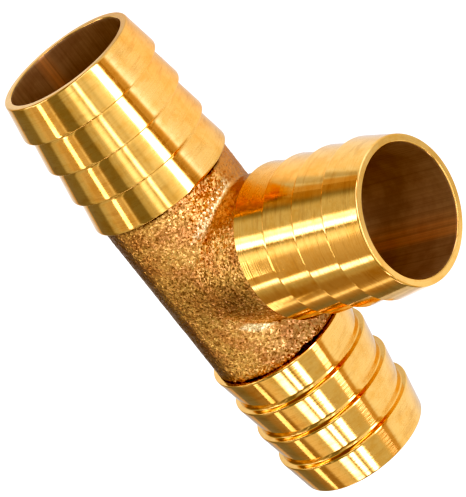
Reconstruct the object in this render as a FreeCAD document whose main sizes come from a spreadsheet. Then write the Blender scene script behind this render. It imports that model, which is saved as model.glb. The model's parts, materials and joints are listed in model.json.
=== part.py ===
"""Barbed tee connector for one-inch hose: a cast brass tee with three turned hose tails.

Frame: the origin is where the run's axis crosses the branch's axis. The run lies along Y,
the branch points along +X, and +Z is up when the tee lies flat. Sizes are millimetres.
"""
import FreeCAD, Part
import os
import Sketcher

SHEET = "Dimensions"

# The driving dimensions of the fitting. Each one is a cell of the sheet with an alias.
DRIVING_DIMENSIONS = [
    ("bore_diameter", 22.4),          # the water way, the same through run and branch
    ("crest_diameter", 27.2),         # the sharp edge of every barb
    ("root_diameter", 25.0),          # the small end of every barb, and of the tip
    ("barb_pitch", 6.75),             # from one shoulder to the next
    ("barb_count", 4),                # barbs on each tail
    ("crest_land", 0.35),             # the short cylinder left on top of each barb
    ("tip_rounding", 0.35),           # outer edge of each tail's end face
    ("mouth_chamfer", 0.15),          # inner edge of each tail's end face
    ("run_reach", 17.7),              # centre to the first shoulder of a run tail
    ("branch_reach", 17.9),           # centre to the first shoulder of the branch tail
    ("run_body_diameter", 25.3),      # cast skin around the run
    ("branch_body_diameter", 25.16),  # cast skin around the branch, a shade slimmer
    ("crotch_blend", 0.9),            # cast radius where the branch leaves the run
]

# Each tail: its name, the sheet cell for its distance from the centre, the axis and angle
# of the turn that takes the tail's own +Z to the way it points, and the placement
# coordinate and sign that its distance goes to.
TAILS = [
    ("run_tail_left", "run_reach", FreeCAD.Vector(1, 0, 0), -90, "y", ""),
    ("run_tail_right", "run_reach", FreeCAD.Vector(1, 0, 0), 90, "y", "-"),
    ("branch_tail", "branch_reach", FreeCAD.Vector(0, 1, 0), 90, "x", ""),
]

ORIGIN_POINT = -1      # Sketcher's number for the sketch's own origin and axes
START, END = 1, 2      # Sketcher's numbers for the two ends of a line


def make_sheet(doc):
    """Write the driving dimensions into a spreadsheet, one aliased cell to a row."""
    sheet = doc.addObject("Spreadsheet::Sheet", SHEET)
    for row, (alias, value) in enumerate(DRIVING_DIMENSIONS, start=1):
        sheet.set("A%d" % row, alias)
        sheet.set("B%d" % row, str(value))
        sheet.setAlias("B%d" % row, alias)
    doc.recompute()
    return sheet


def cell(alias):
    """The expression that reads one cell of the sheet."""
    return "%s.%s" % (SHEET, alias)


def new_body(doc, label):
    """An empty PartDesign body, named for the piece that it becomes."""
    body = doc.addObject("PartDesign::Body", label)
    body.Label = label
    return body


def new_sketch(body, name, plane_role):
    """A sketch on one of the body's own origin planes."""
    sketch = body.newObject("Sketcher::SketchObject", name)
    planes = [item for item in body.Origin.OriginFeatures if item.Role == plane_role]
    sketch.AttachmentSupport = [(planes[0], "")]
    sketch.MapMode = "FlatFace"
    return sketch


def constrain(sketch, name, kind, *where, value, expression):
    """Add a named dimension to a sketch and bind it to the sheet."""
    index = sketch.addConstraint(Sketcher.Constraint(kind, *where, value))
    sketch.renameConstraint(index, name)
    sketch.setExpression("Constraints." + name, expression)


def circle_sketch(body, name, plane_role, diameter_alias):
    """A sketch of one circle about the body's origin."""
    sketch = new_sketch(body, name, plane_role)
    circle = Part.Circle(FreeCAD.Vector(0, 0, 0), FreeCAD.Vector(0, 0, 1), 1)
    sketch.addGeometry(circle, False)
    centre = 3
    sketch.addConstraint(Sketcher.Constraint("Coincident", 0, centre, ORIGIN_POINT, START))
    constrain(sketch, "width", "Diameter", 0, value=2, expression=cell(diameter_alias))
    return sketch


def barb_sketch(body):
    """Half the section of one barb: bore wall, shoulder, crest land and taper.

    The sketch lies on the XZ plane, so its X is the radius and its Y is the tail's axis.
    The shoulder stands at Y = 0 and the barb narrows away from it.
    """
    sketch = new_sketch(body, "BarbSection", "XZ_Plane")
    inner, root, crest = 11, 12, 13
    land, pitch = 1, 6
    corners = [(inner, 0), (crest, 0), (crest, land), (root, pitch), (inner, pitch)]
    points = [FreeCAD.Vector(x, y, 0) for x, y in corners]
    for index, point in enumerate(points):
        following = points[(index + 1) % len(points)]
        sketch.addGeometry(Part.LineSegment(point, following), False)
    for index in range(len(points)):
        following = (index + 1) % len(points)
        sketch.addConstraint(Sketcher.Constraint("Coincident", index, END, following, START))
    shoulder, top, taper, small_end, wall = range(len(points))
    for line in (shoulder, small_end):
        sketch.addConstraint(Sketcher.Constraint("Horizontal", line))
    for line in (top, wall):
        sketch.addConstraint(Sketcher.Constraint("Vertical", line))
    sketch.addConstraint(Sketcher.Constraint("PointOnObject", shoulder, START, ORIGIN_POINT))
    axis_point = (ORIGIN_POINT, START)
    constrain(sketch, "bore_radius", "DistanceX", *axis_point, shoulder, START,
              value=inner, expression=cell("bore_diameter") + " / 2")
    constrain(sketch, "crest_radius", "DistanceX", *axis_point, top, START,
              value=crest, expression=cell("crest_diameter") + " / 2")
    constrain(sketch, "root_radius", "DistanceX", *axis_point, taper, END,
              value=root, expression=cell("root_diameter") + " / 2")
    constrain(sketch, "land", "DistanceY", top, START, top, END,
              value=land, expression=cell("crest_land"))
    constrain(sketch, "pitch", "DistanceY", axis_point[0], axis_point[1], taper, END,
              value=pitch, expression=cell("barb_pitch"))
    return sketch


def end_edges(feature, position, radius):
    """Names of the circular edges of a feature at one place along Z with one radius."""
    close = 0.01
    names = []
    for number, edge in enumerate(feature.Shape.Edges, start=1):
        curve = edge.Curve
        if not isinstance(curve, Part.Circle):
            continue
        if abs(curve.Center.z - position) < close and abs(curve.Radius - radius) < close:
            names.append("Edge%d" % number)
    return names


def make_tail(doc, sheet, label, reach, turn_axis, turn_angle, coordinate, sign):
    """One hose tail: a turned barb, repeated along the axis, with its end face broken."""
    body = new_body(doc, label)
    sketch = barb_sketch(body)
    doc.recompute()

    barb = body.newObject("PartDesign::Revolution", "Barb")
    barb.Profile = sketch
    barb.ReferenceAxis = (sketch, ["V_Axis"])
    barb.Angle = 360
    doc.recompute()

    barbs = body.newObject("PartDesign::LinearPattern", "Barbs")
    barbs.Originals = [barb]
    barbs.Direction = (sketch, ["V_Axis"])
    barbs.Mode = "Spacing"
    barbs.setExpression("Offset", cell("barb_pitch"))
    barbs.setExpression("Occurrences", cell("barb_count"))
    body.Tip = barbs
    doc.recompute()

    tip_position = sheet.barb_pitch * sheet.barb_count
    rounding = body.newObject("PartDesign::Fillet", "TipRounding")
    rounding.Base = (barbs, end_edges(barbs, tip_position, sheet.root_diameter / 2))
    rounding.setExpression("Radius", cell("tip_rounding"))
    body.Tip = rounding
    doc.recompute()

    chamfer = body.newObject("PartDesign::Chamfer", "MouthChamfer")
    chamfer.Base = (rounding, end_edges(rounding, tip_position, sheet.bore_diameter / 2))
    chamfer.setExpression("Size", cell("mouth_chamfer"))
    body.Tip = chamfer

    body.Placement = FreeCAD.Placement(FreeCAD.Vector(), FreeCAD.Rotation(turn_axis, turn_angle))
    body.setExpression("Placement.Base." + coordinate, sign + cell(reach))
    doc.recompute()
    return body


def add_pad(body, name, sketch, length_expression, both_ways=False):
    """Pad a sketch, and check that it made the body bigger."""
    doc = body.Document
    before = 0.0 if body.Shape.isNull() else body.Shape.Volume
    pad = body.newObject("PartDesign::Pad", name)
    pad.Profile = sketch
    pad.Midplane = both_ways
    pad.setExpression("Length", length_expression)
    body.Tip = pad
    doc.recompute()
    if body.Shape.Volume <= before:
        raise RuntimeError("%s adds nothing" % name)
    return pad


def add_pocket(body, name, sketch, length_expression, both_ways=False, reverse=False):
    """Pocket a sketch, and check that it made the body smaller."""
    doc = body.Document
    before = body.Shape.Volume
    pocket = body.newObject("PartDesign::Pocket", name)
    pocket.Profile = sketch
    pocket.Midplane = both_ways
    pocket.Reversed = reverse
    pocket.setExpression("Length", length_expression)
    body.Tip = pocket
    doc.recompute()
    if body.Shape.Volume >= before:
        raise RuntimeError("%s cuts nothing" % name)
    return pocket


def crotch_edges(feature):
    """Names of the curved seams where the branch's skin meets the run's skin."""
    names = []
    for number, edge in enumerate(feature.Shape.Edges, start=1):
        if not isinstance(edge.Curve, (Part.Circle, Part.Line)):
            names.append("Edge%d" % number)
    return names


def make_tee_body(doc):
    """The cast centre: run and branch skins, blended in the crotch, with the water way."""
    body = new_body(doc, "tee_body")
    run_length = "2 * " + cell("run_reach")

    run_sketch = circle_sketch(body, "RunSkin", "XZ_Plane", "run_body_diameter")
    add_pad(body, "Run", run_sketch, run_length, both_ways=True)

    branch_sketch = circle_sketch(body, "BranchSkin", "YZ_Plane", "branch_body_diameter")
    branch = add_pad(body, "Branch", branch_sketch, cell("branch_reach"))

    blend = body.newObject("PartDesign::Fillet", "CrotchBlend")
    blend.Base = (branch, crotch_edges(branch))
    blend.setExpression("Radius", cell("crotch_blend"))
    body.Tip = blend
    doc.recompute()

    run_bore = circle_sketch(body, "RunWaterWay", "XZ_Plane", "bore_diameter")
    add_pocket(body, "RunBore", run_bore, run_length, both_ways=True)

    branch_bore = circle_sketch(body, "BranchWaterWay", "YZ_Plane", "bore_diameter")
    add_pocket(body, "BranchBore", branch_bore, cell("branch_reach"), reverse=True)
    return body


def check(doc, pieces):
    """Stop if any object failed to build, or any piece is empty or broken."""
    for item in doc.Objects:
        if "Invalid" in item.State or "Error" in item.State:
            raise RuntimeError("%s failed: %s" % (item.Label, item.State))
    for piece in pieces:
        if piece.Shape.isNull() or not piece.Shape.isValid():
            raise RuntimeError("%s has no valid shape" % piece.Label)
        if len(piece.Shape.Solids) != 1:
            raise RuntimeError("%s is not one solid" % piece.Label)


def main():
    doc = FreeCAD.newDocument("BarbedTee")
    sheet = make_sheet(doc)
    pieces = [make_tee_body(doc)]
    for tail in TAILS:
        pieces.append(make_tail(doc, sheet, *tail))
    doc.recompute()
    check(doc, pieces)

    os.makedirs("parts", exist_ok=True)
    for piece in pieces:
        piece.Shape.exportStep("parts/%s.step" % piece.Label)
        box = piece.Shape.BoundBox
        print("%-16s volume %9.1f mm3   x %.2f..%.2f  y %.2f..%.2f  z %.2f..%.2f" % (
            piece.Label, piece.Shape.Volume,
            box.XMin, box.XMax, box.YMin, box.YMax, box.ZMin, box.ZMax))


main()
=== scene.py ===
"""The looks of a barbed brass tee connector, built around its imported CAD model.

Everything is in metres in the part's own frame: the run along Y, the branch along +X, +Z up,
the origin where the two axes cross. The tee lies flat on a pale floor, in a studio whose
panels its bright turned tails reflect.
"""
import bmesh
import bpy
import json
import math
import numpy as np
from mathutils import Matrix, Vector, noise
from mathutils.bvhtree import BVHTree


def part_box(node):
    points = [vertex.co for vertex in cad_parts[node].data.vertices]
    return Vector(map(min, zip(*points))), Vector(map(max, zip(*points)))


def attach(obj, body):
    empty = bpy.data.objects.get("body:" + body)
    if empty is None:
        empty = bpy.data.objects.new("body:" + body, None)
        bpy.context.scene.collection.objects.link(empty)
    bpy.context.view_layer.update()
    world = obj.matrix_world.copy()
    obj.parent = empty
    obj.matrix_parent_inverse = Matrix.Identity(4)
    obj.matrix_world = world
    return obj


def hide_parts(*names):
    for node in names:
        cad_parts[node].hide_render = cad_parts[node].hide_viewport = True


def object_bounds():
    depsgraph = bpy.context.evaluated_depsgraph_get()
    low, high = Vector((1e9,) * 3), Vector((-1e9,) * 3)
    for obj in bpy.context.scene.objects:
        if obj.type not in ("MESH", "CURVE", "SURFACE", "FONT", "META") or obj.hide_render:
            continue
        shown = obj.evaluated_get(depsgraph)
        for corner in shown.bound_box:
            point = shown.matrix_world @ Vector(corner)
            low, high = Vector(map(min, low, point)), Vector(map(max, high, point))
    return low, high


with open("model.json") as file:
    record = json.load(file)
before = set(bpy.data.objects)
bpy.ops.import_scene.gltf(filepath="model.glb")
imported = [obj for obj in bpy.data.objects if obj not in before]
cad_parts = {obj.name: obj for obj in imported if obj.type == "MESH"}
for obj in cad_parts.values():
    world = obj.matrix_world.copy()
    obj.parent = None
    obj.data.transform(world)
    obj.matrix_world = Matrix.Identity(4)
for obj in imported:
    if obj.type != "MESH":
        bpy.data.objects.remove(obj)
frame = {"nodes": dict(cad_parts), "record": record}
cad_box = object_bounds()

MM = 0.001
NODES = frame["nodes"]
MOUNTS = {mount["name"]: mount for mount in frame["record"]["mounts"]}

# ---- Sizes, read from the frame ------------------------------------------------------------
BORE_RADIUS = MOUNTS["run_bore"]["dims"]["r_mm"] * MM
CREST_RADIUS = MOUNTS["branch_hose"]["dims"]["r_mm"] * MM
CREST_LAND = MOUNTS["branch_hose"]["dims"]["length_mm"] * MM
BARBS = 4
BARB_HEIGHT = 1.1 * MM
TAIL_LENGTH = (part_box("branch_tail")[1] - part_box("branch_tail")[0]).x
PITCH = TAIL_LENGTH / BARBS
ROOT_RADIUS = CREST_RADIUS - BARB_HEIGHT
FLOOR_LEVEL = cad_box[0][2]
SKIN_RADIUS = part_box("tee_body")[1].z
END_OF_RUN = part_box("tee_body")[1].y
END_OF_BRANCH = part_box("tee_body")[1].x

# Each tail: the CAD node, the way it points, how far from the origin its first shoulder stands,
# and the width of the flat land on its crests. The branch's crests are the sharpest.
TAILS = [
    ("run_tail_left", Vector((0, 1, 0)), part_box("run_tail_left")[0].y, CREST_LAND),
    ("run_tail_right", Vector((0, -1, 0)), -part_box("run_tail_right")[1].y, CREST_LAND),
    ("branch_tail", Vector((1, 0, 0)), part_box("branch_tail")[0].x, CREST_LAND / 3),
]


def clamp(value):
    """A value held between 0 and 1."""
    return max(0.0, min(1.0, value))


# ---- Camera --------------------------------------------------------------------------------

def place_camera():
    """The camera looks down at the lying tee, rolled so that the run slants down the picture."""
    azimuth = math.radians(27.74)
    elevation = math.radians(36.90)
    roll = math.radians(145.43)
    distance = 447.4 * MM
    aim = Vector((1.89, -0.15, -2.13)) * MM
    back = Vector((
        math.cos(elevation) * math.cos(azimuth),
        math.cos(elevation) * math.sin(azimuth),
        math.sin(elevation)))
    level_up = (Vector((0, 0, 1)) - back * back.z).normalized()
    level_right = level_up.cross(back)
    up = level_up * math.cos(roll) + level_right * math.sin(roll)
    right = up.cross(back)
    data = bpy.data.cameras.new("camera")
    data.sensor_width = 36
    data.lens = 188.5
    data.clip_end = 10
    camera = bpy.data.objects.new("camera", data)
    turn = Matrix((right, up, back)).transposed().to_4x4()
    camera.matrix_world = Matrix.Translation(aim + back * distance) @ turn
    bpy.context.scene.collection.objects.link(camera)
    bpy.context.scene.camera = camera


# ---- Node helpers --------------------------------------------------------------------------

class Nodes:
    """A node tree that is written one call to a node."""

    def __init__(self, tree):
        self.tree = tree
        tree.nodes.clear()

    def add(self, kind, inputs=(), **settings):
        """Add a node; inputs maps a socket's name or number to a value or an output socket."""
        node = self.tree.nodes.new(kind)
        for name, value in settings.items():
            setattr(node, name, value)
        for key, value in dict(inputs).items():
            if isinstance(value, bpy.types.NodeSocket):
                self.tree.links.new(value, node.inputs[key])
            else:
                node.inputs[key].default_value = value
        return node

    def math(self, operation, *values, clamp=False):
        """One Math node's result."""
        inputs = {number: value for number, value in enumerate(values)}
        node = self.add("ShaderNodeMath", inputs, operation=operation, use_clamp=clamp)
        return node.outputs[0]

    def product(self, first, *others):
        """All the values multiplied together."""
        for value in others:
            first = self.math("MULTIPLY", first, value)
        return first

    def largest(self, first, *others):
        """The largest of the values."""
        for value in others:
            first = self.math("MAXIMUM", first, value)
        return first

    def vector(self, operation, first, second):
        """One Vector Math node on two vectors."""
        return self.add("ShaderNodeVectorMath", {0: first, 1: second}, operation=operation)

    def dot(self, first, second):
        """The dot product of two vectors."""
        return self.vector("DOT_PRODUCT", first, second).outputs["Value"]

    def distance(self, first, second):
        """The distance between two places."""
        return self.vector("DISTANCE", first, second).outputs["Value"]

    def smooth(self, value, start, end, low=0.0, high=1.0):
        """A smooth step of a value, from low at start to high at end."""
        inputs = {"Value": value, "From Min": start, "From Max": end, "To Min": low, "To Max": high}
        node = self.add("ShaderNodeMapRange", inputs, interpolation_type="SMOOTHSTEP")
        return node.outputs["Result"]

    def noise(self, vector, scale, detail=3.0, roughness=0.5, dimensions="3D"):
        """A noise texture's value, where scale counts features to the metre."""
        inputs = {"Scale": scale, "Detail": detail, "Roughness": roughness}
        inputs["W" if dimensions == "1D" else "Vector"] = vector
        node = self.add("ShaderNodeTexNoise", inputs, noise_dimensions=dimensions)
        return node.outputs["Fac"]

    def mix_colors(self, factor, first, second):
        """Two colours mixed: the first where the factor is 0, the second where it is 1."""
        node = self.add("ShaderNodeMix", data_type="RGBA")
        for socket, value in (("Factor_Float", factor), ("A_Color", first), ("B_Color", second)):
            target = next(item for item in node.inputs if item.identifier == socket)
            if isinstance(value, bpy.types.NodeSocket):
                self.tree.links.new(value, target)
            else:
                target.default_value = value
        return next(item for item in node.outputs if item.identifier == "Result_Color")


def new_material(name):
    """A material and its empty node tree."""
    material = bpy.data.materials.new(name)
    material.use_nodes = True
    return material, Nodes(material.node_tree)


# ---- Studio --------------------------------------------------------------------------------

WHITE = (1, 1, 1, 1)
ROOM_LIGHT = 0.35
HORIZON_COLOR = (1.55, 1.18, 0.85, 1)
WARM_WALL_COLOR = (1.35, 1.12, 1.0, 1)
BRIGHT_PANEL_COLOR = (1.0, 0.90, 1.3, 1)
SHEET_COLOR = (0.96, 0.985, 1.10, 1)
TABLE_COLOR = (0.86, 0.66, 0.48, 1)
BRASS_BOUNCE_COLOR = (1.04, 0.93, 0.90, 1)
GLARE_COLOR = (1.0, 0.93, 1.35, 1)

# Which way the two warmer stretches of wall lie.
WARM_WALLS = [(-0.45, -0.72, 0.53), (-0.47, 0.05, 0.88)]

# What the polished brass sees around it. Each panel is a soft-edged patch of light in the
# room: azimuth and elevation of its middle, width and height, brightness, softness of its
# edge. All angles are in degrees.
PANELS = [
    # wide walls and the ceiling
    (-10, 22, 150, 30, 0.39, 6),
    (0, 56, 60, 33, 0.42, 4),
    (130, 27, 60, 24, 0.37, 5),
    (-172, 41, 50, 18, 0.30, 4),
    (180, 58, 44, 14, 0.22, 3),
    (-172, 72, 40, 12, 0.28, 3),
    (-107, 45, 18, 12, 0.42, 2.5),
    (-132, 53, 20, 9, 0.2, 3),
    (-123, 25, 20, 14, 0.12, 3),
    # ahead of the branch: a low bright window, and lamps above it
    (2, 11.5, 60, 12, 3.4, 1.8),
    (2, 20, 60, 12, 0.6, 6),
    (2, 35, 60, 15, 0.26, 4),
    (2, 50, 50, 5.5, 1.7, 2.2),
    (2, 61.5, 50, 8, 0.7, 3),
    (2, 76, 50, 7, 0.3, 2),
    # to the right: a row of strip lights, and a small one low down
    (-43.0, 4, 3.4, 9, 2.0, 0.7),
    (-58, 32.3, 9, 5, 4.6, 1.8),
    (-62, 36, 5, 5, 0.9, 2),
    (-70, 41.2, 5, 6, 4.8, 1.8),
    (-85, 45.5, 10, 8, 2.8, 2.5),
    # to the left: a window with two bars
    (127, 38, 28, 5.5, 1.5, 2),
    (131, 44.5, 28, 5.5, 3.6, 1.8),
    (140, 55.5, 32, 8, 0.85, 3),
    # behind and overhead: single lamps
    (-172, 79, 60, 3.5, 0.4, 1.6),
    (-147, 58.8, 6.5, 5, 2.1, 1.5),
    (-123, 24.3, 20, 5, 0.65, 2.2),
    # beside the camera and low on the right: they light the creases of the casting
    (57, 23, 10, 46, 2.8, 3),
    (62, 3, 24, 14, 0.7, 4),
    (-109, 20, 12, 12, 2.5, 3),
    (141, 20, 10, 14, 2.0, 3),
]


def panel_axes(azimuth, elevation):
    """A panel's facing, its sideways axis and its upward axis."""
    facing = Vector((
        math.cos(elevation) * math.cos(azimuth),
        math.cos(elevation) * math.sin(azimuth),
        math.sin(elevation)))
    sideways = Vector((-math.sin(azimuth), math.cos(azimuth), 0))
    return facing, sideways, facing.cross(sideways)


def panel_light(tree, direction, azimuth, elevation, width, height, strength, soft):
    """How much light one panel sends from a direction."""
    facing, sideways, upward = panel_axes(math.radians(azimuth), math.radians(elevation))
    light = tree.math("GREATER_THAN", tree.dot(direction, facing), 0.0)
    for axis, size in ((sideways, width), (upward, height)):
        off = tree.math("ABSOLUTE", tree.dot(direction, axis))
        inner = math.sin(math.radians(size / 2 - soft))
        outer = math.sin(math.radians(size / 2 + soft))
        light = tree.math("MULTIPLY", light, tree.smooth(off, inner, outer, 1.0, 0.0))
    return tree.math("MULTIPLY", light, strength)


def wall_color(tree, direction):
    """The dim walls: warm near the horizon on the camera's side, and in two places behind the tee."""
    height = tree.dot(direction, (0, 0, 1))
    horizon = tree.smooth(height, math.sin(math.radians(4)), math.sin(math.radians(13)), 1.0, 0.0)
    ahead = tree.smooth(tree.dot(direction, (0.82, 0.57, 0)), -0.3, 0.1)
    walls = tree.mix_colors(tree.product(horizon, ahead), WHITE, HORIZON_COLOR)
    for middle in WARM_WALLS:
        inner, outer = math.cos(math.radians(13)), math.cos(math.radians(26))
        near = tree.smooth(tree.dot(direction, middle), outer, inner)
        walls = tree.mix_colors(near, walls, WARM_WALL_COLOR)
    return walls


def build_world():
    """A dim room with soft lit panels; the camera sees an even pale backdrop instead."""
    world = bpy.data.worlds.new("studio")
    bpy.context.scene.world = world
    world.use_nodes = True
    tree = Nodes(world.node_tree)
    direction = tree.add("ShaderNodeTexCoord").outputs["Generated"]
    seen = tree.add("ShaderNodeLightPath").outputs["Is Camera Ray"]
    unseen = tree.math("SUBTRACT", 1.0, seen)
    panels = 0.0
    for panel in PANELS:
        panels = tree.math("ADD", panels, panel_light(tree, direction, *panel))
    panels = tree.math("ADD", tree.math("MULTIPLY", panels, unseen), seen)
    walls = wall_color(tree, direction)
    dim = tree.math("MULTIPLY", unseen, ROOM_LIGHT)
    room = tree.add("ShaderNodeBackground", {"Color": walls, "Strength": dim})
    lamps = tree.mix_colors(tree.smooth(panels, 0.7, 2.2), WHITE, BRIGHT_PANEL_COLOR)
    lit = tree.add("ShaderNodeBackground", {"Color": lamps, "Strength": panels})
    both = tree.add("ShaderNodeAddShader", {0: room.outputs[0], 1: lit.outputs[0]})
    tree.add("ShaderNodeOutputWorld", {"Surface": both.outputs[0]})


# Two soft boxes close to the tee, one facing each of the run's tails: the place, what it faces,
# width, height and brightness.
NEAR_LAMPS = [
    (Vector((-65, 23, 152)) * MM, Vector((0, 31, 12)) * MM, 62 * MM, 20 * MM, 2.0),
    (Vector((-77, -126, 99)) * MM, Vector((0, -31, 12)) * MM, 15 * MM, 42 * MM, 1.2),
]

# Watts of stray light in the crossing.
CROSSING_GLOW = 0.008


def add_lamp(place, target, width, height, brightness):
    """A small soft box in the room, near enough that each tail sees it elsewhere."""
    data = bpy.data.lights.new("lamp", "AREA")
    data.shape = "RECTANGLE"
    data.size, data.size_y = width, height
    data.energy = brightness * math.pi * width * height  # watts that give this brightness
    lamp = bpy.data.objects.new("lamp", data)
    turn = (place - target).to_track_quat("Z", "Y")
    lamp.matrix_world = Matrix.LocRotScale(place, turn, None)
    lamp.visible_camera = False
    bpy.context.scene.collection.objects.link(lamp)


def add_glow(power):
    """Light that has found its way into the crossing, and lights the water way from inside."""
    data = bpy.data.lights.new("glow", "POINT")
    data.energy = power
    data.shadow_soft_size = 8 * MM
    glow = bpy.data.objects.new("glow", data)
    glow.visible_camera = False
    bpy.context.scene.collection.objects.link(glow)


def spot(tree, place, x, y, inner, outer, inside, outside):
    """A soft round patch on the floor, in millimetres: one value inside it and another outside."""
    away = tree.distance(place, (x * MM, y * MM, FLOOR_LEVEL))
    return tree.smooth(away, inner * MM, outer * MM, inside, outside)


def floor_light(tree, place, x, y, glare):
    """How bright the floor's painted glow is: painted shade under the tee, with one painted bright pool
    under the branch's shoulder.
    """
    shade, glare_light, pool_light = 0.74, 0.6, 1.6
    behind_run = tree.math("MAXIMUM", tree.math("MULTIPLY", x, -1.0), 0.0)
    beside_run = tree.math("ABSOLUTE", x)
    beside_branch = tree.math("ADD", tree.math("ABSOLUTE", y), behind_run)
    light = tree.product(
        spot(tree, place, 40, -30, 60, 170, 1.0, 0.72),
        spot(tree, place, -75, -85, 20, 90, 0.6, 1.0),
        tree.smooth(beside_run, 5 * MM, 15 * MM, shade, 1.0),
        tree.smooth(beside_branch, 5 * MM, 20 * MM, shade, 1.0))
    light = tree.math("ADD", light, tree.math("MULTIPLY", glare, glare_light))
    return tree.math("ADD", light, spot(tree, place, 18, 1, 3, 9, pool_light, 0.0))


def floor_color(tree, place, x, y, glare):
    """The floor's tint: a cool sheet with a painted warm bounce of light from the brass, and a brown table
    past it.
    """
    behind = tree.math("SUBTRACT", y, tree.math("MULTIPLY", x, 0.4))
    past_edge = tree.largest(
        tree.smooth(x, 90 * MM, 140 * MM),
        tree.smooth(behind, 70 * MM, 190 * MM),
        tree.smooth(tree.dot(place, (-0.6, -0.8, 0)), 110 * MM, 200 * MM))
    from_window = tree.math("ABSOLUTE", tree.dot(place, (0.89, -0.46, 0)))
    past_edge = tree.product(past_edge, tree.smooth(from_window, 55 * MM, 95 * MM))
    color = tree.mix_colors(past_edge, SHEET_COLOR, TABLE_COLOR)
    # Painted reflected light: a warm bounce from the brass on the floor under the left tail.
    color = tree.mix_colors(spot(tree, place, 8, 34, 8, 26, 1.0, 0.0), color, BRASS_BOUNCE_COLOR)
    # A painted glare on the floor ahead of the branch, to its left.
    return tree.mix_colors(glare, color, GLARE_COLOR)


def build_floor():
    """A wide pale sheet on a brown table.

    The camera sees it evenly white. In reflections it glows with painted light in place of a real
    table top's: brightest in front, painted shade close under the tee, dim behind, and brown past
    the sheet's edge. A small painted glare lies ahead of the branch, to its left.
    """
    half = 1.2
    corners = [(-half, -half), (half, -half), (half, half), (-half, half)]
    mesh = bpy.data.meshes.new("floor")
    mesh.from_pydata([(x, y, FLOOR_LEVEL) for x, y in corners], [], [(0, 1, 2, 3)])
    floor = bpy.data.objects.new("floor", mesh)
    bpy.context.scene.collection.objects.link(floor)
    material, tree = new_material("pale_floor")
    place = tree.add("ShaderNodeNewGeometry").outputs["Position"]
    x, y, _ = tree.add("ShaderNodeSeparateXYZ", {"Vector": place}).outputs
    # A painted glare ahead of the branch, to its left.
    glare = spot(tree, place, 76, 30, 12, 32, 1.0, 0.0)
    seen = tree.add("ShaderNodeLightPath").outputs["Is Camera Ray"]
    unseen = tree.math("SUBTRACT", 1.0, seen)
    color = tree.mix_colors(seen, floor_color(tree, place, x, y, glare), WHITE)
    # Painted light and shade in the floor's glow, seen only in reflections.
    light = tree.math("MULTIPLY", floor_light(tree, place, x, y, glare), unseen)
    inputs = {
        "Base Color": (0.1, 0.1, 0.1, 1),
        "Roughness": 0.9,
        "Specular IOR Level": 0.0,
        "Emission Color": color,
        "Emission Strength": tree.math("ADD", light, seen),
    }
    shader = tree.add("ShaderNodeBsdfPrincipled", inputs)
    tree.add("ShaderNodeOutputMaterial", {"Surface": shader.outputs[0]})
    mesh.materials.append(material)


def develop_picture():
    """A contrasty print: black and white points pulled in, as in a catalogue."""
    view = bpy.context.scene.view_settings
    view.view_transform = "Standard"
    view.use_curve_mapping = True
    black, white = 0.25, 0.95

    def to_display(value):
        return 12.92 * value if value <= 0.0031308 else 1.055 * value ** (1 / 2.4) - 0.055

    def to_light(value):
        return value / 12.92 if value <= 0.04045 else ((value + 0.055) / 1.055) ** 2.4

    combined = 3
    curve = view.curve_mapping.curves[combined]
    stops, crowding = 13, 1.5  # the stops stand closer together towards black
    first, last = to_light(black), to_light(white)
    points = [(0.0, 0.0)]
    for step in range(stops + 1):
        place = first + (last - first) * (step / stops) ** crowding
        points.append((place, to_light((to_display(place) - black) / (white - black))))
    while len(curve.points) < len(points):
        curve.points.new(0.5, 0.5)
    for point, (x, y) in zip(curve.points, points):
        point.location = (x, clamp(y))
        point.handle_type = "VECTOR" if x <= first else "AUTO"
    view.curve_mapping.update()


# ---- Materials -----------------------------------------------------------------------------

# Colours of clean metal, of what stains it, and of painted light and shade: the turned tails', the
# water way's, and the casting's.
BRASS = (0.88, 0.595, 0.235, 1)
TARNISH = (0.80, 0.47, 0.14, 1)
SMEAR = (0.68, 0.41, 0.15, 1)
BORE_BROWN = (0.45, 0.31, 0.16, 1)
BORE_SHADE = (0.37, 0.24, 0.12, 1)
BORE_STREAK = (0.27, 0.17, 0.08, 1)
BORE_SHEEN_GOLD = (0.92, 0.44, 0.13, 1)
COPPERY = (0.76, 0.44, 0.19, 1)
GOLDEN = (0.92, 0.62, 0.25, 1)
DARK_GRAIN = (0.42, 0.23, 0.09, 1)
RED_EDGE_SHADE = (0.66, 0.33, 0.11, 1)
PAINTED_GLINT = (1.0, 0.86, 0.52, 1)
NECK_SHADE = (0.62, 0.38, 0.16, 1)
DARKENING_AND_SHADE = (0.20, 0.13, 0.07, 1)
SHOULDER_LINE_DARK = (0.05, 0.025, 0.01, 1)


def add_metal(tree, color, metallic, rough, normal):
    """The shader of a piece, led to the material's output."""
    inputs = {"Base Color": color, "Metallic": metallic, "Roughness": rough, "Normal": normal}
    shader = tree.add("ShaderNodeBsdfPrincipled", inputs)
    tree.add("ShaderNodeOutputMaterial", {"Surface": shader.outputs[0]})


def turning_smears(tree, spoke, along):
    """Blurred stains that the turning has drawn out around the tail."""
    inputs = {
        "Vector": spoke,
        "W": tree.math("MULTIPLY", along, 400.0),
        "Scale": 2.5,
        "Detail": 5.0,
        "Roughness": 0.65,
    }
    return tree.add("ShaderNodeTexNoise", inputs, noise_dimensions="4D").outputs["Fac"]


def dull_sides(tree, spoke, place):
    """Where a tail is duller: on a run tail beside the branch, and on the branch beside the left tail."""
    to_branch = tree.smooth(tree.dot(spoke, (1, 0, 0)), 0.965, 0.99)
    to_left = tree.smooth(tree.dot(spoke, (0, 1, 0)), 0.85, 0.95)
    out = tree.dot(place, (1, 0, 0))
    close = tree.smooth(out, END_OF_BRANCH + 5 * MM, END_OF_BRANCH + 9 * MM, 1.0, 0.0)
    return tree.largest(to_branch, tree.product(to_left, close))


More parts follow.
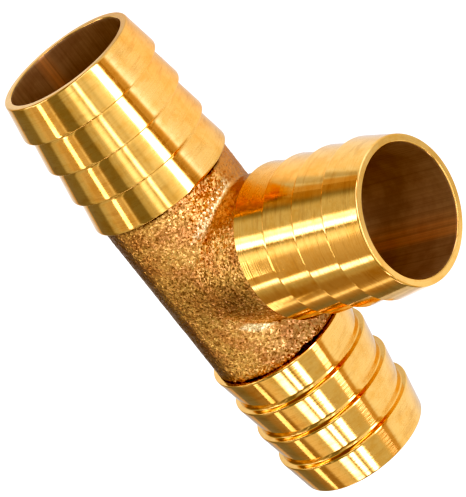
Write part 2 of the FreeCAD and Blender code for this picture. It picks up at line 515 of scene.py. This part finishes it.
def turned_brass():
    """Bright turned brass: mirror-like, with fine tool marks around the axis."""
    material, tree = new_material("turned_brass")
    place = tree.add("ShaderNodeTexCoord").outputs["Object"]
    along = tree.add("ShaderNodeAttribute", attribute_name="along").outputs["Fac"]
    spoke = tree.add("ShaderNodeAttribute", attribute_name="spoke").outputs["Vector"]
    lines = tree.noise(along, 4200.0, detail=2.0, dimensions="1D")
    bands = tree.noise(along, 900.0, detail=1.0, dimensions="1D")
    cloud = tree.noise(place, 330.0, detail=4.0, roughness=0.6)
    specks = tree.noise(place, 800.0, detail=5.0, roughness=0.75)
    smears = turning_smears(tree, spoke, along)

    color = tree.mix_colors(tree.smooth(cloud, 0.42, 0.72, 0.0, 0.6), BRASS, TARNISH)
    color = tree.mix_colors(tree.smooth(specks, 0.5, 0.7, 0.0, 0.4), color, TARNISH)
    color = tree.mix_colors(tree.smooth(lines, 0.5, 0.8, 0.0, 0.4), color, TARNISH)
    color = tree.mix_colors(tree.smooth(smears, 0.5, 0.68, 0.0, 0.45), color, SMEAR)
    rough = tree.math(
        "ADD", tree.smooth(bands, 0.3, 0.7, 0.05, 0.09), tree.smooth(specks, 0.45, 0.75, 0.0, 0.07))
    rough = tree.math("ADD", rough, tree.math("MULTIPLY", dull_sides(tree, spoke, place), 0.2))
    bump = tree.add("ShaderNodeBump", {"Height": lines, "Strength": 0.5, "Distance": 0.008 * MM})
    add_metal(tree, color, 1.0, rough, bump.outputs[0])
    return material


# Where a golden sheen is painted along each water way in place of a reflection: the side it lies
# on, and then the angles below the horizontal where the streak starts, is brightest and ends, in degrees.
PAINTED_SHEEN_STREAKS = [
    (Vector((-1, 0, 0)), 14, 24, 34),
    (Vector((0, -1, 0)), 26, 31, 58),
]
DOWN = Vector((0, 0, -1))


def painted_sheen_streak(tree, spoke, side, first, brightest, last):
    """How strongly the painted sheen streak lies on one side of the bore."""
    first, brightest, last = (math.radians(angle) for angle in (first, brightest, last))
    painted_highlight = side * math.cos(brightest) + DOWN * math.sin(brightest)
    beside = DOWN * math.cos(brightest) - side * math.sin(brightest)
    off = tree.dot(spoke, beside)
    return tree.product(
        tree.math("GREATER_THAN", tree.dot(spoke, painted_highlight), 0.85),
        tree.smooth(off, math.sin(first - brightest), 0.0),
        tree.smooth(off, 0.0, math.sin(last - brightest), 1.0, 0.0))


def bored_brass():
    """The water way: dull brown, streaked lengthwise, with one golden sheen streak painted in place of a
    reflection.
    """
    material, tree = new_material("bored_brass")
    spoke = tree.add("ShaderNodeAttribute", attribute_name="spoke").outputs["Vector"]
    place = tree.add("ShaderNodeTexCoord").outputs["Object"]
    cloud = tree.noise(place, 240.0, detail=4.0, roughness=0.6)
    streaks = tree.noise(spoke, 22.0, detail=3.0, roughness=0.7)
    painted_sheen = 0.0
    for streak in PAINTED_SHEEN_STREAKS:
        painted_sheen = tree.math("ADD", painted_sheen, painted_sheen_streak(tree, spoke, *streak))
    painted_sheen = tree.product(painted_sheen, tree.smooth(streaks, 0.3, 0.65, 0.45, 0.2))

    color = tree.mix_colors(tree.smooth(cloud, 0.35, 0.7), BORE_BROWN, BORE_SHADE)
    color = tree.mix_colors(tree.smooth(streaks, 0.4, 0.7, 0.0, 0.45), color, BORE_STREAK)
    # Painted sheen: a golden streak that stands in for a reflection in the bore.
    color = tree.mix_colors(painted_sheen, color, BORE_SHEEN_GOLD)
    rough = tree.smooth(cloud, 0.3, 0.75, 0.36, 0.50)
    bump = tree.add("ShaderNodeBump", {"Height": streaks, "Strength": 0.3, "Distance": 0.05 * MM})
    add_metal(tree, color, 0.2, rough, bump.outputs[0])
    return material


# Soft darker spots on the casting: the middle, how far from it the darkening starts to fade and
# ends, and how strong it is. The one by the right tail's shoulder on the branch's side is a
# painted shadow of the branch; one is on top of the branch's neck, and one on top of the crossing.
DARK_SPOTS = [
    (Vector((11, -18, 2)) * MM, 4 * MM, 13 * MM, 0.5),
    (Vector((11.5, -2.5, 12.2)) * MM, 2 * MM, 7.5 * MM, 0.5),
    (Vector((3.5, 0, 12.6)) * MM, 3 * MM, 9 * MM, 0.25),
]

# The branch's neck is smoother, and painted darker as shade, on the side that faces the left tail:
# the place along the run where that starts, and where it is full.
NECK_START, NECK_FULL = 8.5 * MM, 11 * MM


def painted_crease_glints(tree, past_crease, y, z):
    """Two painted highlights beside the crease, where branch and run meet."""
    beside_crease = tree.product(
        tree.smooth(past_crease, -2.4 * MM, -1.4 * MM),
        tree.smooth(past_crease, -0.4 * MM, 0.2 * MM, 1.0, 0.0))
    to_left = tree.product(
        beside_crease,
        tree.smooth(y, 9.5 * MM, 11 * MM),
        tree.smooth(z, -2.5 * MM, 0.5 * MM))
    to_right = tree.product(
        tree.smooth(y, -11 * MM, -9.8 * MM),
        tree.smooth(y, -8.2 * MM, -7.2 * MM, 1.0, 0.0))
    return tree.largest(to_left, tree.product(beside_crease, to_right))


def painted_edge_shade(tree, x, y, z):
    """How strongly shade is painted on the casting at its outline, as the view has it.

    The first value is for the side away from the branch. The second is for the corner between
    the branch and the left tail, and takes in the underside there. The outline comes from Layer
    Weight, so these two painted shades move when the camera does.
    """
    # Painted shade, strongest where the surface turns away from the view.
    edge = tree.smooth(tree.add("ShaderNodeLayerWeight", {"Blend": 0.5}).outputs["Facing"], 0.3, 0.7)
    away_side_shade = tree.product(edge, tree.smooth(x, -4 * MM, 4 * MM, 0.75, 0.0))
    branch_side_shade = tree.product(
        tree.largest(edge, tree.smooth(z, -1.8 * MM, 0.8 * MM, 1.0, 0.0)),
        tree.smooth(x, -4 * MM, 4 * MM, 0.0, 0.85),
        tree.smooth(y, -4 * MM, 4 * MM))
    return away_side_shade, branch_side_shade


def distance_to_shoulder(tree, x, y, blotch):
    """How far a place on the casting is from the nearest turned shoulder, made ragged by blotches."""
    on_run = tree.math("SUBTRACT", END_OF_RUN, tree.math("ABSOLUTE", y))
    on_branch = tree.math("SUBTRACT", END_OF_BRANCH, x)
    ragged = tree.smooth(blotch, 0.3, 0.7, 0.35 * MM, -0.35 * MM)
    return tree.math("ADD", tree.math("MINIMUM", on_run, on_branch), ragged)


def darkening_and_shade_cover(tree, place, to_shoulder, away_side_shade):
    """How much darker the casting is made: near the shoulders, in the spots, of which one is the branch's
    painted shadow, and with painted shade at the outline away from the branch.
    """
    darkness = tree.smooth(to_shoulder, 0.1 * MM, 1.0 * MM, 0.8, 0.0)
    for middle, inner, outer, strength in DARK_SPOTS:
        darkness = tree.largest(darkness, tree.smooth(tree.distance(place, middle), inner, outer, strength, 0.0))
    # Painted shade at the outline away from the branch.
    return tree.largest(darkness, tree.smooth(away_side_shade, 0.3, 0.75, 0.0, 0.75))


def grain_normal(tree, place, grains, tilt_amount, bump_strength):
    """The casting's shading normal: each grain tilted its own way, over fine grit."""
    grit = tree.noise(place, 1900.0, detail=4.0, roughness=0.7)
    tilt = tree.vector("SUBTRACT", grains, (0.5, 0.5, 0.5)).outputs[0]
    inputs = {0: tilt, "Scale": tilt_amount}
    tilt = tree.add("ShaderNodeVectorMath", inputs, operation="SCALE").outputs[0]
    inputs = {"Height": grit, "Strength": bump_strength, "Distance": 0.08 * MM}
    bump = tree.add("ShaderNodeBump", inputs).outputs[0]
    tilted = tree.vector("ADD", bump, tilt).outputs[0]
    return tree.add("ShaderNodeVectorMath", {0: tilted}, operation="NORMALIZE").outputs[0]


def cast_brass():
    """Sand-cast brass: a skin of small grains, each tilted its own way, some bright and some dark."""
    material, tree = new_material("cast_brass")
    place = tree.add("ShaderNodeTexCoord").outputs["Object"]
    x, y, z = tree.add("ShaderNodeSeparateXYZ", {"Vector": place}).outputs
    blotch = tree.noise(place, 260.0, detail=4.0, roughness=0.6)
    grains = tree.add("ShaderNodeTexVoronoi", {"Vector": place, "Scale": 3300.0}).outputs["Color"]
    shade, _, tone = tree.add("ShaderNodeSeparateColor", {"Color": grains}).outputs

    past_crease = tree.math("SUBTRACT", x, tree.math("ABSOLUTE", y))
    on_neck = tree.product(
        tree.smooth(past_crease, -0.3 * MM, 0.3 * MM), tree.smooth(y, NECK_START, NECK_FULL))
    away_side_shade, branch_side_shade = painted_edge_shade(tree, x, y, z)
    to_shoulder = distance_to_shoulder(tree, x, y, blotch)

    color = tree.mix_colors(tree.smooth(blotch, 0.35, 0.6), COPPERY, GOLDEN)
    color = tree.mix_colors(tree.smooth(tone, 0.45, 0.95, 0.0, 0.7), color, COPPERY)
    color = tree.mix_colors(tree.smooth(shade, 0.0, 0.25, 0.5, 0.0), color, DARK_GRAIN)
    # Painted shade: a darker red at the outline and underside in the corner between the branch and the
    # left tail.
    color = tree.mix_colors(branch_side_shade, color, RED_EDGE_SHADE)
    # Painted highlights: bright glints beside the crease where branch and run meet.
    painted_highlight = tree.math("MULTIPLY", painted_crease_glints(tree, past_crease, y, z), 0.75)
    color = tree.mix_colors(painted_highlight, color, PAINTED_GLINT)
    # Painted shade on the branch's neck, on the side that faces the left tail.
    color = tree.mix_colors(tree.math("MULTIPLY", on_neck, 0.7), color, NECK_SHADE)
    # Darker near the shoulders and in the spots; the spot by the right tail is the branch's painted
    # shadow, and the outline away from the branch gets painted shade.
    color = tree.mix_colors(darkening_and_shade_cover(tree, place, to_shoulder, away_side_shade), color, DARKENING_AND_SHADE)
    # A thin dark line along each shoulder, where the casting meets a tail.
    shoulder_line = tree.smooth(to_shoulder, 0.1 * MM, 0.45 * MM, 0.85, 0.0)
    color = tree.mix_colors(shoulder_line, color, SHOULDER_LINE_DARK)

    tilt_amount = tree.smooth(tree.largest(on_neck, branch_side_shade), 0.0, 1.0, 0.8, 0.4)
    bump_strength = tree.smooth(on_neck, 0.0, 1.0, 0.7, 0.4)
    normal = grain_normal(tree, place, grains, tilt_amount, bump_strength)
    rough = tree.smooth(shade, 0.0, 0.8, 0.45, 0.28)
    add_metal(tree, color, 1.0, rough, normal)
    return material


# ---- Outlines and meshes -------------------------------------------------------------------

def rounded(corners, arc_steps=6):
    """An open outline through (place, radius, rounding) corners, with an arc at each rounding."""
    points = [corners[0][:2]]
    for before, corner, after in zip(corners, corners[1:], corners[2:]):
        here, rounding = Vector(corner[:2]), corner[2]
        if rounding == 0:
            points.append(tuple(here))
            continue
        back = (Vector(before[:2]) - here).normalized()
        ahead = (Vector(after[:2]) - here).normalized()
        half = back.angle(ahead) / 2
        center = here + (back + ahead).normalized() * (rounding / math.sin(half))
        first = here + back * (rounding / math.tan(half)) - center
        last = here + ahead * (rounding / math.tan(half)) - center
        for step in range(arc_steps + 1):
            spoke = first.lerp(last, step / arc_steps).normalized() * rounding
            points.append(tuple(center + spoke))
    points.append(corners[-1][:2])
    return points


def divided(points, longest):
    """The same outline with no stretch longer than a given length."""
    result = [points[0]]
    for start, end in zip(points, points[1:]):
        pieces = max(1, math.ceil(math.dist(start, end) / longest))
        for number in range(1, pieces + 1):
            share = number / pieces
            result.append((start[0] + (end[0] - start[0]) * share, start[1] + (end[1] - start[1]) * share))
    return result


def finish_mesh(mesh, sharp_degrees=50):
    """Outward normals, smooth shading, and creases kept at true corners."""
    work = bmesh.new()
    work.from_mesh(mesh)
    bmesh.ops.recalc_face_normals(work, faces=work.faces)
    for face in work.faces:
        face.smooth = True
    work.to_mesh(mesh)
    work.free()
    mesh.set_sharp_from_angle(angle=math.radians(sharp_degrees))


# ---- Turned hose tails ---------------------------------------------------------------------

# A barb is a short flat crest, a taper, a narrow land at its root, and then the next shoulder,
# which leans a little.
CREST_ROUND = 0.12 * MM
ROOT_ROUND = 0.25 * MM
ROOT_LAND = 0.8 * MM
ROOT_LAND_RADIUS = ROOT_RADIUS + ROOT_LAND * BARB_HEIGHT / (PITCH - CREST_LAND)
ROOT_LAND_RISE = 0.02 * MM
ROOT_LAND_BLEND = 2.5 * MM
SHOULDER_LEAN = 0.2 * MM
TIP_ROUND = 0.35 * MM
MOUTH_CHAMFER = 0.15 * MM
RIPPLE_HEIGHT = 0.0016 * MM
RIPPLE_LENGTH = 0.84 * MM

# How finely a tail is divided: along its outside, along its bore, and around its axis.
OUTSIDE_STEP = 0.095 * MM
BORE_STEP = 0.5 * MM
SEGMENTS = 224


def ripple(place):
    """The shallow waves that the tool's feed leaves on a barb's taper."""
    covered = place % PITCH - CREST_LAND
    left = PITCH - ROOT_LAND - RIPPLE_LENGTH / 2 - CREST_LAND - covered
    fade = clamp(min(covered, left) / RIPPLE_LENGTH)
    return RIPPLE_HEIGHT * fade * (math.cos(2 * math.pi * covered / RIPPLE_LENGTH) - 1) / 2


def tail_outlines(land):
    """The outside of a tail, from its inner end to its mouth, and its bore back to the inner end."""
    corners = [(0.0, BORE_RADIUS, 0), (0.0, CREST_RADIUS, CREST_ROUND)]
    for number in range(BARBS):
        start = number * PITCH
        end = start + PITCH
        corners.append((start + land, CREST_RADIUS, 0))
        if number < BARBS - 1:
            corners.append((end - ROOT_LAND, ROOT_LAND_RADIUS, ROOT_LAND_BLEND))
            corners.append((end - SHOULDER_LEAN, ROOT_LAND_RADIUS + ROOT_LAND_RISE, ROOT_ROUND))
            corners.append((end, CREST_RADIUS, CREST_ROUND))
    corners.append((TAIL_LENGTH, ROOT_RADIUS, TIP_ROUND))
    corners.append((TAIL_LENGTH, BORE_RADIUS + MOUTH_CHAMFER, 0))
    corners.append((TAIL_LENGTH - MOUTH_CHAMFER, BORE_RADIUS, 0))
    depth = land / CREST_LAND
    outside = []
    for place, radius in divided(rounded(corners), OUTSIDE_STEP):
        on_barbs = place < TAIL_LENGTH - TIP_ROUND
        outside.append((place, radius + depth * ripple(place) if on_barbs else radius))
    inside = divided([outside[-1], (0.0, BORE_RADIUS)], BORE_STEP)
    return outside, inside[1:-1]


def build_tail(node, direction, start, land, materials):
    """A turned tail: its outline swept round the axis."""
    outside, inside = tail_outlines(land)
    outline = np.array(outside + inside)
    angles = np.linspace(0, 2 * math.pi, SEGMENTS, endpoint=False)
    side = np.array((0, 0, 1))
    axis = np.array(direction)
    spokes = np.outer(np.cos(angles), side) + np.outer(np.sin(angles), np.cross(axis, side))
    verts = outline[:, 1, None, None] * spokes + (start + outline[:, 0, None, None]) * axis
    rings = len(outline)
    ring, number = np.meshgrid(np.arange(rings), np.arange(SEGMENTS), indexing="ij")
    following, beside = (ring + 1) % rings, (number + 1) % SEGMENTS
    faces = np.stack([
        ring * SEGMENTS + number, ring * SEGMENTS + beside,
        following * SEGMENTS + beside, following * SEGMENTS + number], axis=-1)
    mesh = bpy.data.meshes.new(node + "_turned")
    mesh.from_pydata(verts.reshape(-1, 3), [], faces.reshape(-1, 4))
    lengths = np.cumsum(np.r_[0, np.linalg.norm(np.diff(outline, axis=0), axis=1)])
    attribute = mesh.attributes.new("along", "FLOAT", "POINT")
    attribute.data.foreach_set("value", np.repeat(lengths, SEGMENTS).astype(np.float32))
    attribute = mesh.attributes.new("spoke", "FLOAT_VECTOR", "POINT")
    attribute.data.foreach_set("vector", np.tile(spokes, (rings, 1)).astype(np.float32).ravel())
    for material in materials:
        mesh.materials.append(material)
    slots = np.repeat(np.arange(rings) >= len(outside) - 1, SEGMENTS)
    mesh.polygons.foreach_set("material_index", slots.astype(np.int32))
    finish_mesh(mesh)
    piece = bpy.data.objects.new(node + "_turned", mesh)
    bpy.context.scene.collection.objects.link(piece)
    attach(piece, "root")
    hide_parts(node)


# ---- The cast centre -----------------------------------------------------------------------

# The size of the casting's quads, how close two of the CAD's points are when they are one, how
# far from the bore an end face still looks bored, and how far from a machined face the sand
# grain is at its full height.
CAST_QUAD = 0.18 * MM
SAME_POINT = 0.002 * MM
BORED_RIM = 0.4 * MM
GRAIN_FADE = 0.25 * MM

# The sand's grain, in three sizes: height, how many to the metre, and where its noise starts.
GRAIN_SIZES = [
    (0.045 * MM, 2400.0, Vector((0, 0, 0))),
    (0.03 * MM, 1300.0, Vector((7.3, 1.1, 4.2))),
    (0.05 * MM, 260.0, Vector((2.9, 8.4, 5.6))),
]


def remeshed_body():
    """The CAD body as an even mesh of small quads."""
    mesh = NODES["tee_body"].data.copy()
    mesh.materials.clear()
    work = bmesh.new()
    work.from_mesh(mesh)
    bmesh.ops.remove_doubles(work, verts=work.verts, dist=SAME_POINT)
    work.to_mesh(mesh)
    work.free()
    piece = bpy.data.objects.new("tee_body_cast", mesh)
    bpy.context.scene.collection.objects.link(piece)
    remesh = piece.modifiers.new("even", "REMESH")
    remesh.mode = "VOXEL"
    remesh.voxel_size = CAST_QUAD
    graph = bpy.context.evaluated_depsgraph_get()
    even = bpy.data.meshes.new_from_object(piece.evaluated_get(graph))
    piece.modifiers.clear()
    piece.data = even
    return piece


def cast_grain(point):
    """How far the sand leaves the casting's skin above or below its true surface."""
    return sum(height * noise.noise(point * scale + start) for height, scale, start in GRAIN_SIZES)


def from_nearer_axis(point):
    """How far a point is from the run's axis or the branch's, whichever is nearer."""
    from_run = math.hypot(point.x, point.z)
    from_branch = math.hypot(point.y, point.z) if point.x > 0 else from_run
    return min(from_run, from_branch)


def grain_share(point):
    """How much of the sand grain a point has: none in the bore or on the end faces, half on the neck."""
    middle_of_wall = (BORE_RADIUS + SKIN_RADIUS) / 2
    to_end = min(END_OF_RUN - abs(point.y), END_OF_BRANCH - point.x)
    share = clamp((from_nearer_axis(point) - middle_of_wall) / GRAIN_FADE) * clamp(to_end / GRAIN_FADE)
    if point.x > abs(point.y):
        share *= 1.0 - 0.5 * clamp((point.y - NECK_START) / (NECK_FULL - NECK_START))
    return share


def build_body(materials):
    """The rough centre: cast skin outside, bored water way inside."""
    true_surface = BVHTree.FromObject(NODES["tee_body"], bpy.context.evaluated_depsgraph_get())
    piece = remeshed_body()
    mesh = piece.data
    for vertex in mesh.vertices:
        near, normal, _, _ = true_surface.find_nearest(vertex.co)
        vertex.co = near + normal * (cast_grain(near) * grain_share(near))
    attribute = mesh.attributes.new("spoke", "FLOAT_VECTOR", "POINT")
    for vertex, spoke in zip(mesh.vertices, attribute.data):
        x, y, z = vertex.co
        spoke.vector = Vector((0, y, z) if x > abs(y) else (x, 0, z)).normalized()
    for material in materials:
        mesh.materials.append(material)
    cast_slot, bored_slot = range(len(materials))
    for face in mesh.polygons:
        outside = from_nearer_axis(face.center) > BORE_RADIUS + BORED_RIM
        face.material_index = cast_slot if outside else bored_slot
    finish_mesh(mesh)
    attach(piece, "root")
    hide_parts("tee_body")


# ---- The picture ---------------------------------------------------------------------------

place_camera()
build_world()
build_floor()
for lamp in NEAR_LAMPS:
    add_lamp(*lamp)
add_glow(CROSSING_GLOW)
develop_picture()
turned, bored, cast = turned_brass(), bored_brass(), cast_brass()
for node, direction, start, land in TAILS:
    build_tail(node, direction, start, land, (turned, bored))
build_body((cast, bored))
